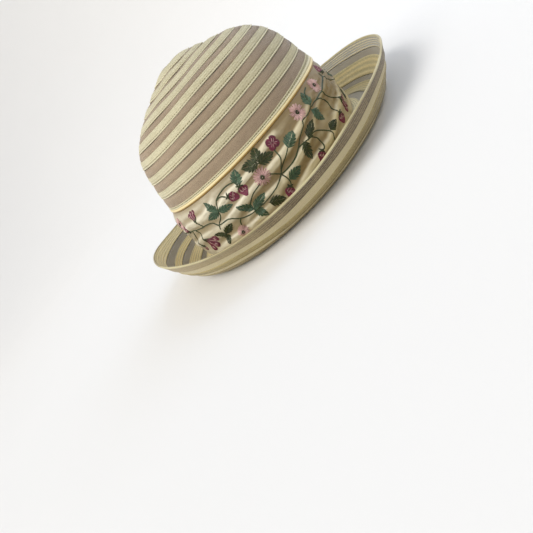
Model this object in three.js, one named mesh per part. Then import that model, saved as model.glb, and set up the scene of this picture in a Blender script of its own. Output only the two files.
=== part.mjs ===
// Summer hat of straw braid and sheer cloth, sewn in alternate rings, with a draped satin band.
// Millimetres, +Z up. The front of the hat faces -Y and the fold of its brim rests on Z = 0.

import * as THREE from 'three';

// Crown, measured over the row edges.
const CROWN_LENGTH = 206; // front to back, at the lowest row that shows above the band
const CROWN_WIDTH = 171; // side to side, at the same height
const TIP_HEIGHT = 158.5; // top of the crown above the rest plane
const LAST_ROW_HEIGHT = 68; // lower edge of the lowest crown row
const BASE_FLARE = 1.5; // how far the foot of the crown stands out beyond that row

// Brim, from the foot of the crown down to the fold and up to the rim.
const FOOT_HEIGHT = 7; // foot of the crown above the fold
const FOLD_FRONT = 137; // fold from the crown's axis, to the front
const FOLD_BACK = 123; // the same, to the back
const FOLD_SIDE = 109; // the same, to each side
const RIM_FRONT = 165.5; // rim from the crown's axis, to the front
const RIM_BACK = 154.5; // the same, to the back
const RIM_SIDE = 132; // the same, to each side
const RIM_FRONT_HEIGHT = 36; // rim above the rest plane, at the front
const RIM_BACK_HEIGHT = 48; // the same, at the back
const RIM_SIDE_HEIGHT = 28.5; // the same, at each side
const RIM_SWING = 5.3; // how much the rim lifts before and sinks behind the sides
const FRONT_POWER = 1.86; // power of the oval at the front: 2 is round, less is more pointed

// Band.
const BAND_TOP = 66; // top edge of the satin at the sides and front
const BAND_BACK_RISE = 1; // how much higher that edge runs at the back
const BAND_FLARE = 3.5; // how far the drape stands off the crown at the sides and front
const BAND_BACK_FLARE = 8.5; // the same, at the back
const PLEAT_DEPTH = 2.2; // depth of the soft folds in the satin

// Walls, cords and clearances.
const SHEER_WALL = 1.1;
const STRAW_WALL = 1.3;
const SATIN_WALL = 1.5;
const ROW_EDGE = 0.8; // how far the corded lower edge of a crown row stands proud of the row
const RIM_CORD_RADIUS = 1.2;
const PIPING_RADIUS = 1.2;
const GAP = 0.3; // clearance between pieces that touch
const SEGMENTS = 40; // facets round the hat
const CORD_CORNERS = 5; // facets round a cord

// Lower edge of each crown row, from the tip down. reach is a share of half of CROWN_LENGTH,
// rise a share of the height from LAST_ROW_HEIGHT to TIP_HEIGHT.
const CROWN_ROWS = [
  { reach: 0.245, rise: 0.95 },
  { reach: 0.366, rise: 0.892 },
  { reach: 0.516, rise: 0.832 },
  { reach: 0.663, rise: 0.757 },
  { reach: 0.79, rise: 0.65 },
  { reach: 0.876, rise: 0.511 },
  { reach: 0.93, rise: 0.345 },
  { reach: 0.969, rise: 0.172 },
  { reach: 1, rise: 0 },
];
const STRAW_SHARE = 0.6; // part of each crown row that is straw; the rest above it is sheer
const EDGE_SHARE = 0.07; // part of it that the corded edge takes
const LEAST_SHARE = 0.12; // least part of the lowest row that shows above the piping

// Strips of the sheer cloth, from the foot up. Each ends under the straw row whose lower edge is
// that point of the crown's line: 0 is the foot, 1 the edge of the lowest row.
const SHEER_STRIPS = [
  { name: 'crown_sheer_foot', from: 0, to: 1 },
  { name: 'crown_sheer_1', from: 1, to: 2 },
  { name: 'crown_sheer_2', from: 2, to: 3 },
  { name: 'crown_sheer_3', from: 3, to: 4 },
  { name: 'crown_sheer_4', from: 4, to: 5 },
  { name: 'crown_sheer_5', from: 5, to: 7 },
  { name: 'crown_sheer_6', from: 7, to: 9 },
];
const SEAM_SHARE = 0.3; // how far up that row the seam lies

// Section of the brim. along is the share of the way from the crown to the rim, out is 0 at the
// foot of the crown, 1 at the fold and 2 at the rim, lift is a share of FOOT_HEIGHT inside the
// fold and of the rim's height outside it. swell is added to out at the front and back ends.
// The two rows without lift make the level rest ring.
const BRIM_SECTION = [
  { along: 0, out: 0, lift: 1, swell: 0 },
  { along: 0.12, out: 0.36, lift: 0.52, swell: 0 },
  { along: 0.235, out: 0.72, lift: 0.16, swell: 0 },
  { along: 0.3, out: 0.92, lift: 0, swell: 0 },
  { along: 0.36, out: 1.06, lift: 0, swell: 0.02 },
  { along: 0.405, out: 1.165, lift: 0.05, swell: 0.06 },
  { along: 0.535, out: 1.405, lift: 0.24, swell: 0.1 },
  { along: 0.715, out: 1.66, lift: 0.53, swell: 0.085 },
  { along: 0.83, out: 1.805, lift: 0.72, swell: 0.055 },
  { along: 1, out: 2, lift: 1, swell: 0 },
];
const REST_RING = [0.3, 0.36];

// Rings of the brim, from the crown out.
const BRIM_RINGS = [
  { name: 'brim_straw_foot', from: 0, to: 0.12, straw: true },
  { name: 'brim_sheer_inner', from: 0.12, to: 0.235, straw: false },
  { name: 'brim_straw_fold', from: 0.235, to: 0.405, straw: true },
  { name: 'brim_sheer_middle', from: 0.405, to: 0.535, straw: false },
  { name: 'brim_straw_middle', from: 0.535, to: 0.715, straw: true },
  { name: 'brim_sheer_outer', from: 0.715, to: 0.83, straw: false },
  { name: 'brim_straw_rim', from: 0.83, to: 1, straw: true },
];

// Section of the band from its lower edge up. height is a share of the band's height, flare a
// share of its stand-off, pleat a share of PLEAT_DEPTH and turn moves the folds round the hat.
const BAND_SECTION = [
  { height: 0, flare: 1, pleat: 0.3, turn: 0 },
  { height: 0.12, flare: 1, pleat: 0.8, turn: 14 },
  { height: 0.26, flare: 0.98, pleat: 0.3, turn: 30 },
  { height: 0.4, flare: 0.95, pleat: 1, turn: 48 },
  { height: 0.54, flare: 0.9, pleat: 0.4, turn: 60 },
  { height: 0.7, flare: 0.84, pleat: 0.9, turn: 78 },
  { height: 0.86, flare: 0.68, pleat: 0.4, turn: 90 },
  { height: 1, flare: 0, pleat: 0, turn: 100 },
];
const PLEATS_ROUND = 5;

const UP = new THREE.Vector3(0, 0, 1);
const HALF_LENGTH = CROWN_LENGTH / 2;
const WIDTH_RATIO = CROWN_WIDTH / CROWN_LENGTH;
const CROWN_FOOT = FOOT_HEIGHT + STRAW_WALL + GAP;
const ROW_FACE = -ROW_EDGE; // outside of a straw row, from the crown's line over its edges
const ROW_BACK = ROW_FACE - STRAW_WALL; // the face of the row that lies on the sheer
const SHEER_FACE = ROW_BACK - GAP; // outside of the sheer cloth
const AXIS_Y = (RIM_FRONT - RIM_BACK) / 2; // the crown's axis, behind the middle of the length

const straw = new THREE.MeshStandardMaterial({ color: 0xd9cfa4, roughness: 0.75, metalness: 0 });
const strawShade = new THREE.MeshStandardMaterial({ color: 0xb9a876, roughness: 0.8, metalness: 0 });
const sheer = new THREE.MeshStandardMaterial({ color: 0x9c8a73, roughness: 0.6, metalness: 0 });
const satin = new THREE.MeshStandardMaterial({ color: 0xcbbf9d, roughness: 0.35, metalness: 0 });
const cord = new THREE.MeshStandardMaterial({ color: 0xe6dcb0, roughness: 0.5, metalness: 0 });

const hat = new THREE.Group();

function addMesh(name, geometry, material) {
  geometry.computeVertexNormals();
  const mesh = new THREE.Mesh(geometry, material);
  mesh.name = name;
  mesh.position.y = AXIS_Y;
  hat.add(mesh);
}

// Facets of a ring or a dome. section(angle) gives the closed loop of points at that angle,
// anticlockwise with the axis on its left. A dome's loop starts and ends on the axis.
function sweep(section, dome = false) {
  const positions = [];
  const indices = [];
  const corners = section(0).length;
  const first = dome ? 1 : 0;
  const count = dome ? corners - 2 : corners;
  if (dome) {
    positions.push(...section(0)[0], ...section(0)[corners - 1]);
  }
  const start = positions.length / 3;
  for (let turn = 0; turn < SEGMENTS; turn += 1) {
    const loop = section((2 * Math.PI * turn) / SEGMENTS);
    for (let corner = 0; corner < count; corner += 1) {
      positions.push(...loop[first + corner]);
    }
  }
  const vertex = (turn, corner) => start + (turn % SEGMENTS) * count + (corner % count);
  for (let turn = 0; turn < SEGMENTS; turn += 1) {
    for (let corner = 0; corner < (dome ? count - 1 : count); corner += 1) {
      const a = vertex(turn, corner);
      const b = vertex(turn + 1, corner);
      const c = vertex(turn + 1, corner + 1);
      const d = vertex(turn, corner + 1);
      indices.push(a, b, c, a, c, d);
    }
    if (dome) {
      indices.push(0, vertex(turn + 1, 0), vertex(turn, 0));
      indices.push(1, vertex(turn, count - 1), vertex(turn + 1, count - 1));
    }
  }
  const geometry = new THREE.BufferGeometry();
  geometry.setAttribute('position', new THREE.Float32BufferAttribute(positions, 3));
  geometry.setIndex(indices);
  return geometry;
}

// Point of the crown's oval at an angle. reach is the half length there, stand the distance
// outward from that oval on every side.
function ovalPoint(angle, reach, stand, height) {
  const halfLength = reach + stand;
  const halfWidth = reach * WIDTH_RATIO + stand;
  return [halfWidth * Math.cos(angle), halfLength * Math.sin(angle), height];
}

// The crown's line over its row edges: the foot, the edges and the tip, from the foot up.
const crownLine = [
  new THREE.Vector2(HALF_LENGTH + BASE_FLARE, CROWN_FOOT),
  ...CROWN_ROWS.map(
    (row) =>
      new THREE.Vector2(
        HALF_LENGTH * row.reach,
        LAST_ROW_HEIGHT + (TIP_HEIGHT - LAST_ROW_HEIGHT) * row.rise,
      ),
  ).reverse(),
  new THREE.Vector2(0, TIP_HEIGHT),
];

// Direction square to the crown's line, outward, at one of its points.
function crownNormal(index) {
  const before = crownLine[Math.max(0, index - 1)];
  const after = crownLine[Math.min(crownLine.length - 1, index + 1)];
  const along = new THREE.Vector2().subVectors(after, before).normalize();
  return index === crownLine.length - 1 ? new THREE.Vector2(0, 1) : new THREE.Vector2(along.y, -along.x);
}

// Point on the crown's line between two of its points, moved outward by a distance.
function crownPoint(angle, lower, share, stand) {
  const from = crownLine[lower];
  const to = crownLine[lower + 1];
  const square = crownNormal(lower).lerp(crownNormal(lower + 1), share).normalize();
  const reach = THREE.MathUtils.lerp(from.x, to.x, share);
  const height = THREE.MathUtils.lerp(from.y, to.y, share);
  if (reach === 0) {
    return [0, 0, height + stand];
  }
  return ovalPoint(angle, reach, square.x * stand, height + square.y * stand);
}

// Share of a step of the crown's line that covers a distance along it.
function crownShare(lower, distance) {
  return distance / crownLine[lower].distanceTo(crownLine[lower + 1]);
}

// A strip of the sheer cloth, bent at each row edge. Its seams lie hidden under straw rows.
function buildCrownSheer(strip) {
  const foot = strip.from === 0 ? 0 : SEAM_SHARE + crownShare(strip.from, GAP / 2);
  const head = SEAM_SHARE - crownShare(strip.to, GAP / 2);
  const stops = [{ lower: strip.from, share: foot }];
  for (let lower = strip.from + 1; lower <= strip.to; lower += 1) {
    stops.push({ lower, share: 0 });
  }
  stops.push({ lower: strip.to, share: head });
  const section = (angle) => {
    const face = (stand) => stops.map((stop) => crownPoint(angle, stop.lower, stop.share, stand));
    return [...face(SHEER_FACE), ...face(SHEER_FACE - SHEER_WALL).reverse()];
  };
  addMesh(strip.name, sweep(section), sheer);
}

// Share of a crown row at which its lower edge clears the piping, for the row behind it.
function clearOfPiping(angle, lower) {
  const from = crownLine[lower];
  const to = crownLine[lower + 1];
  const lowest = bandTop(angle) + 2 * (PIPING_RADIUS + GAP);
  return Math.max(0, (lowest - from.y) / (to.y - from.y));
}

// A straw row: a flat braid over the sheer cloth with a cord along its lower edge.
function buildCrownRow(lower, name) {
  const last = lower === 1;
  const section = (angle) => {
    const foot = last ? clearOfPiping(angle, lower) : 0;
    const head = Math.max(STRAW_SHARE, foot + LEAST_SHARE);
    const edge = foot + EDGE_SHARE;
    const proud = last ? ROW_FACE : 0;
    return [
      crownPoint(angle, lower, foot, ROW_BACK),
      crownPoint(angle, lower, foot, proud),
      crownPoint(angle, lower, edge, proud),
      crownPoint(angle, lower, head, ROW_FACE),
      crownPoint(angle, lower, head, ROW_BACK),
    ];
  };
  addMesh(name, sweep(section), straw);
}

// The first row closes the top of the crown as a small cap of coiled braid.
function buildCrownTip() {
  const lower = crownLine.length - 2;
  const section = (angle) => [
    crownPoint(angle, lower, 1, ROW_BACK),
    crownPoint(angle, lower, 0, ROW_BACK),
    crownPoint(angle, lower, 0, 0),
    crownPoint(angle, lower, EDGE_SHARE, 0),
    crownPoint(angle, lower, 3 * EDGE_SHARE, ROW_FACE),
    crownPoint(angle, lower, 1, ROW_FACE),
  ];
  addMesh('crown_tip', sweep(section, true), straw);
}

// Oval with its own front, back and side, as the fold and the rim have.
function longOval(angle, front, back, side) {
  const across = Math.cos(angle);
  const ahead = Math.sin(angle);
  if (ahead > 0) {
    return new THREE.Vector2(side * across, back * ahead);
  }
  const power = 2 / FRONT_POWER;
  const x = side * Math.sign(across) * Math.abs(across) ** power;
  return new THREE.Vector2(x, -front * Math.abs(ahead) ** power);
}

// Height of the rim round the hat: lowest at the sides, highest at the back.
function rimHeight(angle) {
  const along = Math.sin(angle);
  const rise = (RIM_BACK_HEIGHT + RIM_FRONT_HEIGHT) / 2 - RIM_SIDE_HEIGHT;
  const tilt = (RIM_BACK_HEIGHT - RIM_FRONT_HEIGHT) / 2;
  const swing = RIM_SWING * (along - along ** 3);
  return RIM_SIDE_HEIGHT + rise * along ** 2 + tilt * along ** 3 - swing;
}

// Middle of the brim's wall at an angle and a share of the way to the rim.
function brimPoint(angle, along) {
  const at = THREE.MathUtils.clamp(along, 0, 1);
  const next = Math.max(1, BRIM_SECTION.findIndex((row) => row.along >= at));
  const from = BRIM_SECTION[next - 1];
  const to = BRIM_SECTION[next];
  const share = (at - from.along) / (to.along - from.along);
  const swell = THREE.MathUtils.lerp(from.swell, to.swell, share) * Math.sin(angle) ** 2;
  const out = THREE.MathUtils.lerp(from.out, to.out, share) + swell;
  const lift = THREE.MathUtils.lerp(from.lift, to.lift, share);
  const [footX, footY] = crownPoint(angle, 0, 0, SHEER_FACE - SHEER_WALL / 2);
  const foot = new THREE.Vector2(footX, footY);
  const fold = longOval(angle, FOLD_FRONT, FOLD_BACK, FOLD_SIDE);
  const rim = longOval(angle, RIM_FRONT, RIM_BACK, RIM_SIDE);
  const plan = out < 1 ? foot.lerp(fold, out) : fold.lerp(rim, out - 1);
  const height = at < REST_RING[1] ? FOOT_HEIGHT : rimHeight(angle);
  return new THREE.Vector3(plan.x, plan.y, STRAW_WALL / 2 + lift * height);
}

// Direction square to the brim, on its upper face. The rest ring stays level.
function brimNormal(angle, along) {
  if (along >= REST_RING[0] && along <= REST_RING[1]) {
    return UP.clone();
  }
  const outward = brimPoint(angle, along + 0.02).sub(brimPoint(angle, along - 0.02));
  const round = brimPoint(angle + 0.02, along).sub(brimPoint(angle - 0.02, along));
  return outward.cross(round).normalize();
}

// Share of the brim's way that covers a distance square to its rings, at a place on it.
function shareFor(angle, along, distance) {
  const at = THREE.MathUtils.clamp(along, 0.01, 0.99);
  const outward = brimPoint(angle, at + 0.01).sub(brimPoint(angle, at - 0.01));
  const round = brimPoint(angle + 0.02, at).sub(brimPoint(angle - 0.02, at)).normalize();
  return (0.02 * distance) / outward.cross(round).length();
}

// One ring of the brim, straw or sheer, a gap short of its neighbours or of the rim cord.
function buildBrimRing(ring) {
  const wall = ring.straw ? STRAW_WALL : SHEER_WALL;
  const section = (angle) => {
    const before = ring.from === 0 ? 0 : GAP / 2;
    const after = ring.to === 1 ? RIM_CORD_RADIUS + GAP : GAP / 2;
    const from = ring.from + shareFor(angle, ring.from, before);
    const to = ring.to - shareFor(angle, ring.to, after);
    const between = BRIM_SECTION.map((row) => row.along).filter(
      (along) => along > ring.from && along < ring.to,
    );
    const stops = [from, ...between, to];
    const face = (along, side) =>
      brimPoint(angle, along).addScaledVector(brimNormal(angle, along), (side * wall) / 2).toArray();
    const under = stops.map((along) => face(along, -1));
    const upper = stops.map((along) => face(along, 1)).reverse();
    return [...under, ...upper];
  };
  addMesh(ring.name, sweep(section), ring.straw ? strawShade : sheer);
}

// Closed loop of a round cord at an angle, in the upright plane square to its centre line.
function cordSection(angle, centreLine, radius) {
  const centre = centreLine(angle);
  const out = centreLine(angle + 0.02).sub(centreLine(angle - 0.02)).cross(UP).normalize();
  const loop = [];
  for (let corner = 0; corner < CORD_CORNERS; corner += 1) {
    const turn = (2 * Math.PI * corner) / CORD_CORNERS;
    const point = centre.clone();
    point.addScaledVector(out, radius * Math.cos(turn));
    point.addScaledVector(UP, radius * Math.sin(turn));
    loop.push(point.toArray());
  }
  return loop;
}

// Corded edge that stiffens the rim.
function buildRimCord() {
  const centreLine = (angle) => brimPoint(angle, 1);
  const section = (angle) => cordSection(angle, centreLine, RIM_CORD_RADIUS);
  addMesh('rim_cord', sweep(section), cord);
}

// Height of the band's top edge round the hat.
function bandTop(angle) {
  return BAND_TOP + BAND_BACK_RISE * Math.max(0, Math.sin(angle)) ** 2;
}

// Half length of the crown's line at a height that the band covers.
function crownReach(height) {
  const [foot, row, above] = crownLine;
  if (height < row.y) {
    return THREE.MathUtils.mapLinear(height, foot.y, row.y, foot.x, row.x);
  }
  return THREE.MathUtils.mapLinear(height, row.y, above.y, row.x, above.x);
}

// Stand-off of the satin's inner face from the crown's line at one level of the band.
function bandStand(angle, level) {
  const back = Math.max(0, Math.sin(angle));
  const flare = level.flare * (BAND_FLARE + (BAND_BACK_FLARE - BAND_FLARE) * back ** 2);
  const wave = Math.sin(PLEATS_ROUND * angle + THREE.MathUtils.degToRad(level.turn));
  return SHEER_FACE + GAP + flare + level.pleat * PLEAT_DEPTH * (0.5 + 0.5 * wave);
}

// The satin scarf: one draped ring from just over the brim to the piping.
function buildBand() {
  const foot = CROWN_FOOT + GAP;
  const section = (angle) => {
    const outside = [];
    const inside = [];
    for (const level of BAND_SECTION) {
      const height = THREE.MathUtils.lerp(foot, bandTop(angle), level.height);
      const reach = crownReach(height);
      const stand = bandStand(angle, level);
      inside.unshift(ovalPoint(angle, reach, stand, height));
      outside.push(ovalPoint(angle, reach, stand + SATIN_WALL, height));
    }
    return [...outside, ...inside];
  };
  addMesh('band', sweep(section), satin);
}

// Rolled satin piping that finishes the band's top edge.
function buildPiping() {
  const centreLine = (angle) => {
    const height = bandTop(angle) + GAP + PIPING_RADIUS;
    const stand = SHEER_FACE + GAP + PIPING_RADIUS;
    return new THREE.Vector3(...ovalPoint(angle, crownReach(height), stand, height));
  };
  const section = (angle) => cordSection(angle, centreLine, PIPING_RADIUS);
  addMesh('band_piping', sweep(section), cord);
}

buildCrownTip();
for (let row = 2; row <= CROWN_ROWS.length; row += 1) {
  buildCrownRow(crownLine.length - 1 - row, `crown_straw_${row}`);
}
for (const strip of SHEER_STRIPS) {
  buildCrownSheer(strip);
}
buildBand();
buildPiping();
for (const ring of BRIM_RINGS) {
  buildBrimRing(ring);
}
buildRimCord();

export default hat;
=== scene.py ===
import bisect
import math
import random

import bmesh
import bpy
from mathutils import Matrix, Vector, noise


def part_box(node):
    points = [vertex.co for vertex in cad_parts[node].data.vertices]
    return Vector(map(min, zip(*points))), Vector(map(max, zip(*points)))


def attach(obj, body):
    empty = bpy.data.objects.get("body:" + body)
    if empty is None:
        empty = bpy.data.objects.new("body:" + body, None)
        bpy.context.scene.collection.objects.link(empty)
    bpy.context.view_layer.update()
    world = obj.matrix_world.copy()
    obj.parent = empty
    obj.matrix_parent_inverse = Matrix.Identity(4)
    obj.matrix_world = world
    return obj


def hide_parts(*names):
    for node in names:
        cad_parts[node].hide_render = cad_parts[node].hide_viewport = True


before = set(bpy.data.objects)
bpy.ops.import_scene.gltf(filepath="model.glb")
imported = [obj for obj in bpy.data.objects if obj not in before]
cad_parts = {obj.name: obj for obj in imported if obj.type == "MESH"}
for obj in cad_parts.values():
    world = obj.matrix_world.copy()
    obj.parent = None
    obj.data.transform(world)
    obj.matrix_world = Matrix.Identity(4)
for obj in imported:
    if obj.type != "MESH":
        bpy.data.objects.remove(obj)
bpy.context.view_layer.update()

# Sheer cloth of the crown: a fine open weave of thin yarn, in strips sewn edge to edge; its brown is
# partly the yarn's own colour and partly painted shade of the dark hollow behind it. It lies low under
# each straw row, which covers its seam, and swells out between the rows. The rows and the band lie on
# it, so the crown's line and the tools that make a ring are here.
MM = 0.001
TURN = 2 * math.pi
# Half length and height of the crown where its lowest straw row starts.
LAST_ROW_REACH = 103 * MM
LAST_ROW_HEIGHT = 68 * MM
TIP_RISE = 0.8 * MM
SHEER_FACE = -2.4 * MM
SHEER_WALL = 0.5 * MM
SHEER_SWELL = 1.4 * MM
# Shares of a row's step: how far below the straw's upper edge the cloth starts to swell out, over
# what way it does so, and over what way it tucks in again under the next row.
SHEER_OVERLAP = 0.05
SHEER_SLOPE = 0.1
SHEER_TUCK = 0.015
YARN_DEPTH = 0.15 * MM
# Places of the cloth's rings of points in such a step, closer where it swells out.
SHEER_STEPS = (0, 0.2, 0.36, 0.42, 0.48, 0.54, 0.6, 0.66, 0.72, 0.82, 0.92, 0.965, 0.985)
DOME_ROUND = 260
DOME_CELLS = (1100, 360)
SHEER_NODES = [f"crown_sheer_{part}" for part in ("foot", 1, 2, 3, 4, 5, 6)]
STRAW_ROWS = range(2, 10)
# Share of its step that each row covers, counted from the tip down. The rest shows the cloth.
STRAW_SHARES = {2: 0.7, 3: 0.66, 4: 0.62, 5: 0.57, 6: 0.53, 7: 0.5, 8: 0.5}
LAST_SHARE = 0.2
SEWING_WOBBLE = 0.22 * MM
WOBBLE_START = 1.3
ROW_BULGE = 0.9 * MM
MERGE_WITHIN = 0.001 * MM
foot_low, foot_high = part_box("crown_sheer_foot")
AXIS_Y = (foot_low.y + foot_high.y) / 2


def held_in(value):
    """The value, kept between 0 and 1."""
    return min(1, max(0, value))


def eased_share(share):
    """A share that starts and ends slowly."""
    return share * share * (3 - 2 * share)


def widest_corner(node):
    """Half length and height of a crown piece where it stands out furthest to the back."""
    corner = max((vert.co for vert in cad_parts[node].data.vertices), key=lambda co: co.y)
    return Vector((corner.y - AXIS_Y, corner.z))


def crown_line():
    """Points over the row edges, from the foot of the crown to its tip, as (half length, height)."""
    foot = widest_corner("crown_sheer_foot") - Vector((SHEER_FACE, 0))
    edges = [widest_corner(f"crown_straw_{row}") for row in reversed(STRAW_ROWS[:-1])]
    tip = Vector((0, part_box("crown_tip")[1].z + TIP_RISE))
    lowest = Vector((LAST_ROW_REACH, LAST_ROW_HEIGHT))
    return [foot, lowest, *edges, widest_corner("crown_tip"), tip]


CROWN_LINE = crown_line()
TOP = len(CROWN_LINE) - 1
row_low, row_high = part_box("crown_straw_8")
WIDTH_RATIO = (row_high.x - row_low.x) / (row_high.y - row_low.y)


def line_normal(index):
    """Direction square to the crown's line, outward, at one of its points."""
    if index == TOP:
        return Vector((0, 1))
    along = (CROWN_LINE[index + 1] - CROWN_LINE[max(0, index - 1)]).normalized()
    return Vector((along.y, -along.x))


def oval_point(turn, reach, stand, height):
    """Point of the crown's oval: reach is its half length there, stand the distance outward."""
    x = (reach * WIDTH_RATIO + stand) * math.cos(turn)
    y = (reach + stand) * math.sin(turn)
    return Vector((x, AXIS_Y + y, height))


def crown_point(turn, at, stand):
    """Point at an angle and a place on the crown's line, moved outward square to the line. The
    last step up to the tip is domed."""
    lower = min(int(at), TOP - 1)
    share = at - lower
    out = line_normal(lower).lerp(line_normal(lower + 1), share).normalized()
    line = CROWN_LINE[lower].lerp(CROWN_LINE[lower + 1], share)
    if lower == TOP - 1:
        line.y += (CROWN_LINE[TOP].y - CROWN_LINE[lower].y) * share * (1 - share)
    # Sewn by hand: a few slow waves round each row, out of step with those of the next row.
    loose = SEWING_WOBBLE * held_in(at - WOBBLE_START)
    wobble = loose * (math.sin(3 * turn + 2.1 * at) + 0.6 * math.sin(7 * turn - 1.3 * at))
    sag = loose * math.sin(5 * turn + 4.7 * lower)
    stand += wobble + ROW_BULGE * 4 * share * (1 - share)
    return oval_point(turn, line.x, out.x * stand, line.y + out.y * stand + sag)


def round_grid(place, round_steps, across_steps, cells):
    """Grid wrapped once round the hat and sewn up. place(turn, across) gives its points. The UV
    map counts weave cells, a whole number of them round the ring."""
    bm = bmesh.new()
    weave = bm.loops.layers.uv.new("weave")
    bmesh.ops.create_grid(bm, x_segments=round_steps, y_segments=across_steps, size=0.5, calc_uvs=True)
    for face in bm.faces:
        for loop in face.loops:
            loop[weave].uv = Vector((loop[weave].uv.x * cells[0], loop[weave].uv.y * cells[1]))
    for vert in bm.verts:
        vert.co = place(TURN * (vert.co.x + 0.5), vert.co.y + 0.5)
    bmesh.ops.remove_doubles(bm, verts=bm.verts, dist=MERGE_WITHIN)
    return bm


def sewn_piece(name, bm, finish, slot, *nodes):
    """Smooth object of a mesh, riding on the hat and standing for its nodes."""
    mesh = bpy.data.meshes.new(name)
    bm.to_mesh(mesh)
    bm.free()
    mesh.shade_smooth()
    mesh.materials.append(finish.material)
    piece = bpy.data.objects.new(name, mesh)
    bpy.context.scene.collection.objects.link(piece)
    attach(piece, "root")
    if nodes:
        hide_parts(*nodes)
    return piece


def give_wall(piece, wall, side):
    """Thickness for a cloth or braid. side is -1 inward, 0 on both sides of its surface."""
    solid = piece.modifiers.new("wall", "SOLIDIFY")
    solid.thickness = wall
    solid.offset = side


class Value:
    """A socket's output. Sums on it add Math nodes, also where the number stands first."""

    def __init__(self, finish, output):
        self.finish = finish
        self.output = output

    def math(self, operation, other=0.0, swapped=False):
        first, second = (other, self) if swapped else (self, other)
        return self.finish.node("Math", {"operation": operation}, {0: first, 1: second})

    def __add__(self, other):
        return self.math("ADD", other)

    def __sub__(self, other):
        return self.math("SUBTRACT", other)

    def __rsub__(self, other):
        return self.math("SUBTRACT", other, True)

    def __mul__(self, other):
        return self.math("MULTIPLY", other)

    __radd__ = __add__
    __rmul__ = __mul__


class Finish:
    """A material. node() adds a node, sets it and joins its sockets to values or outputs."""

    def __init__(self, name, **constants):
        self.material = bpy.data.materials.new(name)
        self.material.use_nodes = True
        self.tree = self.material.node_tree
        self.shader = self.tree.nodes["Principled BSDF"]
        for socket, value in constants.items():
            self.join(self.shader.inputs[socket.replace("_", " ")], value)

    def join(self, socket, value):
        if isinstance(value, Value):
            self.tree.links.new(value.output, socket)
        else:
            socket.default_value = value

    def paint(self, colour):
        self.join(self.shader.inputs["Base Color"], colour)

    def node(self, kind, settings, inputs, output=0):
        node = self.tree.nodes.new("ShaderNode" + kind)
        for name, value in settings.items():
            setattr(node, name, value)
        for key, value in inputs.items():
            self.join(node.inputs[key], value)
        return Value(self, node.outputs[output])

    def mix(self, share, first, second):
        """Colour between two others. Several sockets of the node share a name, so they are
        given by number."""
        return self.node("Mix", {"data_type": "RGBA"}, {0: share, 6: first, 7: second}, 2)

    def step(self, value, low, high):
        """0 below low, 1 above high, smooth between."""
        settings = {"interpolation_type": "SMOOTHSTEP"}
        return self.node("MapRange", settings, {"Value": value, "From Min": low, "From Max": high})

    def cells(self):
        """The two counts of weave cells, round and across."""
        weave = self.node("UVMap", {"uv_map": "weave"}, {})
        return [self.node("SeparateXYZ", {}, {"Vector": weave}, axis) for axis in ("X", "Y")]

    def cloudy(self, scale, detail=3):
        """Slow change over the hat, between 0 and 1."""
        place = self.node("TexCoord", {}, {}, "Object")
        return self.node("TexNoise", {}, {"Vector": place, "Scale": scale, "Detail": detail})

    def kept_on_mesh(self, name):
        """Number that the mesh keeps for each of its points."""
        return self.node("Attribute", {"attribute_name": name}, {}, "Fac")

    def lit_towards_back(self, start=-0.11, end=0.1):
        """0 at the front of the hat, 1 at its back. It changes the colour from front to back as painted
        light, stronger where the light falls.
        """
        place = self.node("TexCoord", {}, {}, "Object")
        return self.step(self.node("SeparateXYZ", {}, {"Vector": place}, "Y"), start, end)

    def relief(self, height, depth):
        bump = self.node("Bump", {}, {"Height": height, "Distance": depth, "Strength": 1.0})
        self.join(self.shader.inputs["Normal"], bump)


def dyed(red, green, blue):
    """Linear colour of a shade given as it shows, from 0 to 255."""
    def linear(level):
        level /= 255
        return level / 12.92 if level <= 0.04045 else ((level + 0.055) / 1.055) ** 2.4
    return (linear(red), linear(green), linear(blue), 1.0)


def sheer_finish(name, thread, shade, cover=0.8):
    """Open weave: fine yarn both ways, a little heavier along the ring. cover is how much the
    gaps in it hide of what lies behind. The gaps are painted in the shade colour, which stands in for
    what shows through them: painted shade of the dark hollow on the crown, painted light let through
    on the inside of the brim. The change from front to back is painted light."""
    finish = Finish(name, Roughness=0.6, Sheen_Weight=0.25, Sheen_Roughness=0.4)
    along, across = finish.cells()
    warp = (along * TURN).math("SINE") * 0.5 + 0.5
    weft = (across * TURN).math("SINE") * 0.5 + 0.5
    yarn = finish.step(warp * 0.4 + weft * 0.6, 0.2, 0.8)
    tone_drift = finish.cloudy(22) * 0.5
    # Thread colour on the yarn, painted light and shade of what lies behind in the gaps, changing from
    # front to back as painted light.
    finish.paint(finish.mix(yarn * 0.4 + tone_drift + finish.lit_towards_back() * 0.3 - 0.06, shade, thread))
    finish.join(finish.shader.inputs["Alpha"], yarn * 0.2 + cover)
    finish.relief(yarn, YARN_DEPTH)
    return finish


crown_sheer_finish = sheer_finish("crown_sheer_cloth", dyed(202, 178, 148), dyed(112, 92, 70))


def sheer_stand(at):
    """The cloth lies low under a straw row and swells out where it shows above it."""
    share = at - int(at)
    straw = STRAW_SHARES.get(TOP - int(at), LAST_SHARE)
    rising = max(0, (share - straw + SHEER_OVERLAP) / SHEER_SLOPE)
    return SHEER_FACE + SHEER_SWELL * eased_share(min(1, rising, (1 - share) / SHEER_TUCK))


def dome_point(turn, across):
    """Point of the sheer cloth. across runs from the foot of the crown to its tip."""
    row, step = divmod(round(across * (TOP - 1) * len(SHEER_STEPS)), len(SHEER_STEPS))
    at = row + SHEER_STEPS[step]
    return crown_point(turn, at, sheer_stand(at))


dome = round_grid(dome_point, DOME_ROUND, (TOP - 1) * len(SHEER_STEPS), DOME_CELLS)
crown_sheer = sewn_piece("sheer_dome", dome, crown_sheer_finish, "sheer", *SHEER_NODES)
give_wall(crown_sheer, SHEER_WALL, -1)

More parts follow.
